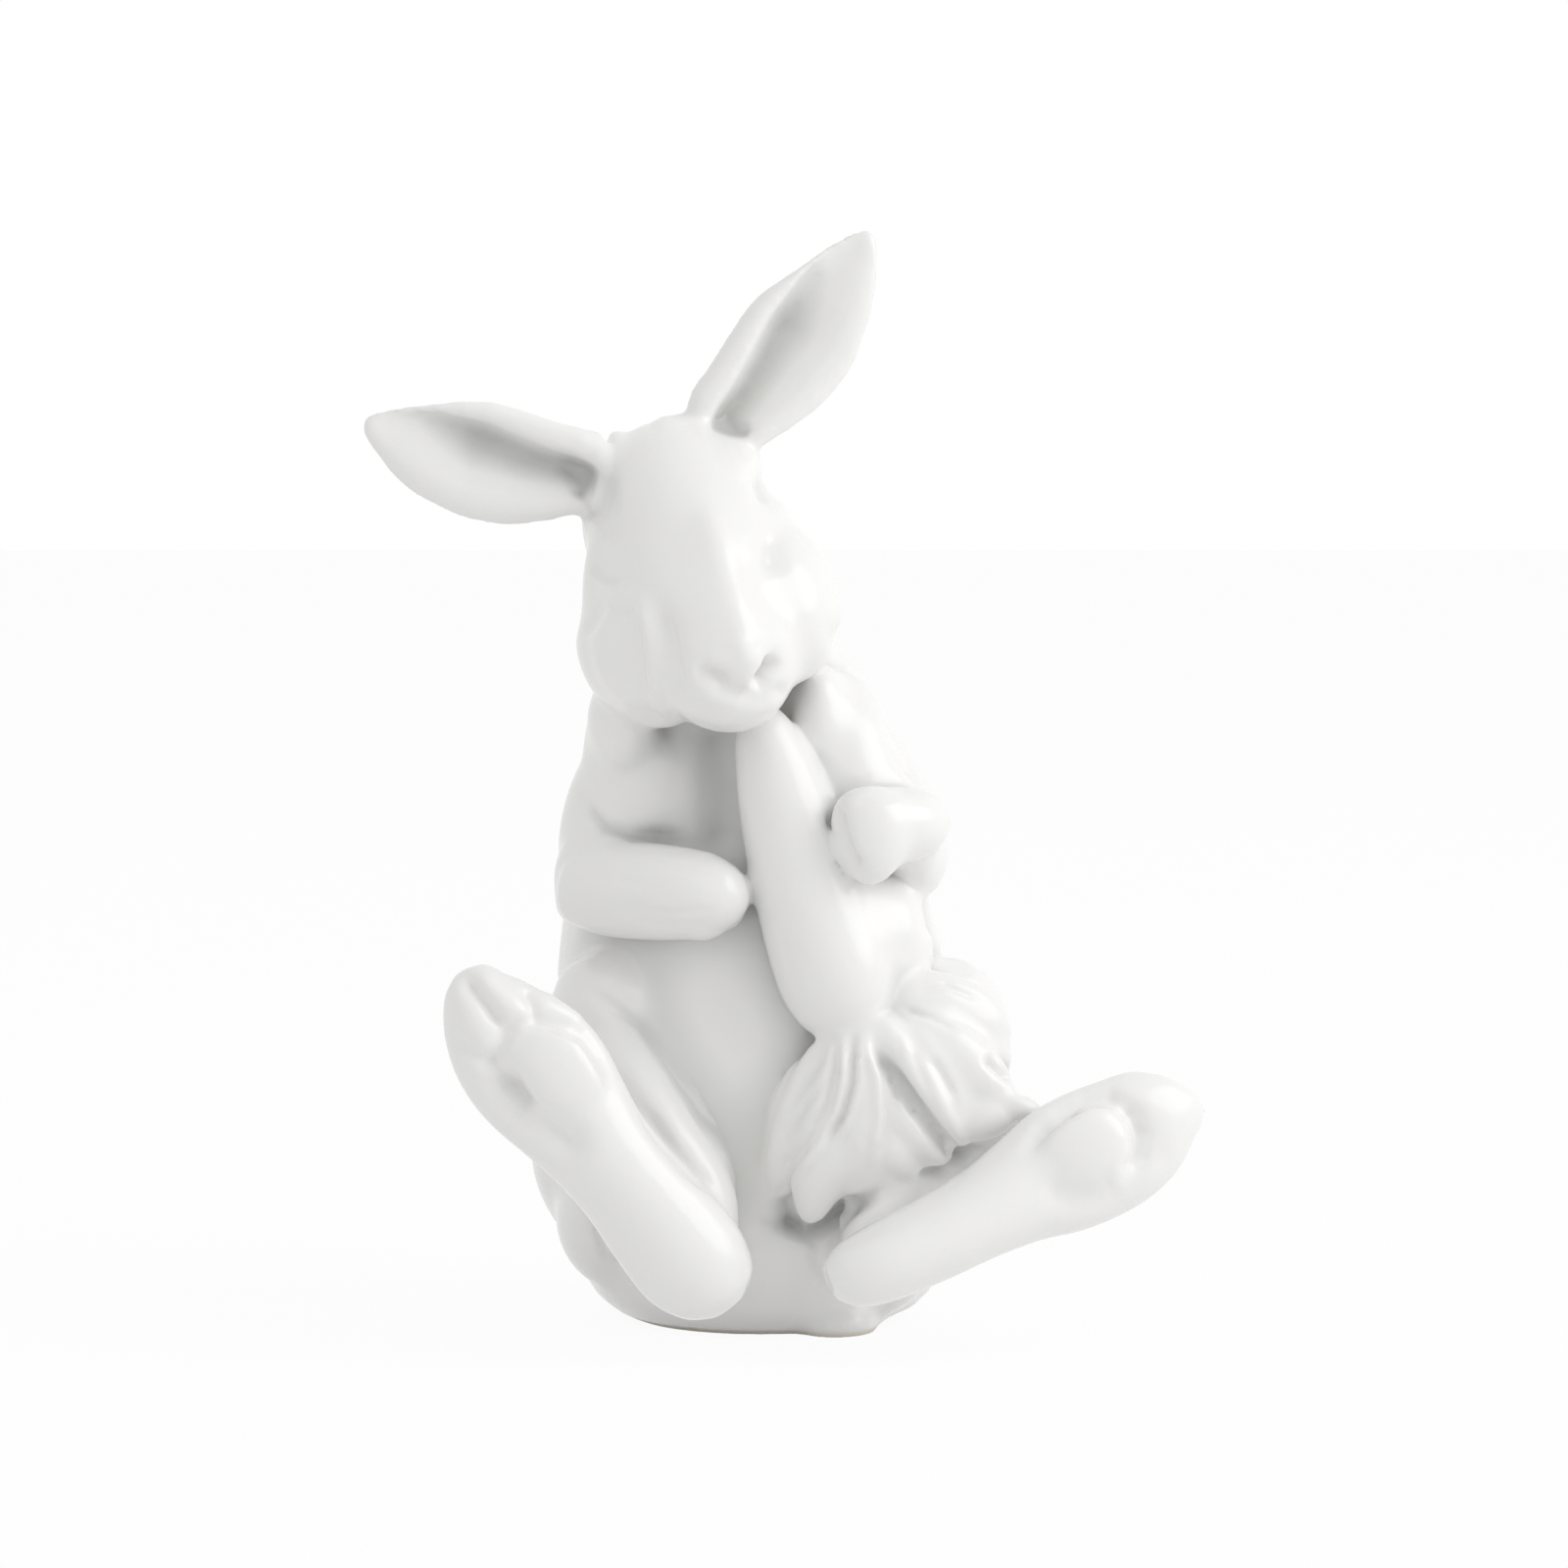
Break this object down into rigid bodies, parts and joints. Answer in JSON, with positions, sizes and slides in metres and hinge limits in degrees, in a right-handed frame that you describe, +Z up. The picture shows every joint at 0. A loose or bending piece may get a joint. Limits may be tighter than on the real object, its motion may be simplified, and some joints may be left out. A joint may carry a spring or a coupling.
{
  "type": "ceramic rabbit figurine",
  "caption": "Seated white glazed porcelain rabbit, head tipped and eyes shut, that hugs a leafy carrot; a table-top ornament on a flat foot.",
  "frame": {"origin": "on the flat underside of the foot, on the middle line between the ears' and the feet's ends, below the middle of the body", "axes": "+X to the rabbit's left, +Y to its back, +Z up; it faces -Y"},
  "size_m": [0.0971, 0.0694, 0.1285],
  "materials": {
    "porcelain": "gloss white glaze"
  },
  "bodies": {
    "root": {"body": "porcelain", "head": "porcelain", "right_ear": "porcelain", "left_ear": "porcelain", "right_leg": "porcelain", "left_leg": "porcelain", "right_foot": "porcelain", "left_foot": "porcelain", "tail": "porcelain", "right_arm": "porcelain", "left_arm": "porcelain", "carrot": "porcelain", "leaf_1": "porcelain", "leaf_2": "porcelain", "leaf_3": "porcelain", "leaf_4": "porcelain", "leaf_5": "porcelain", "leaf_6": "porcelain"}
  },
  "joints": []
}
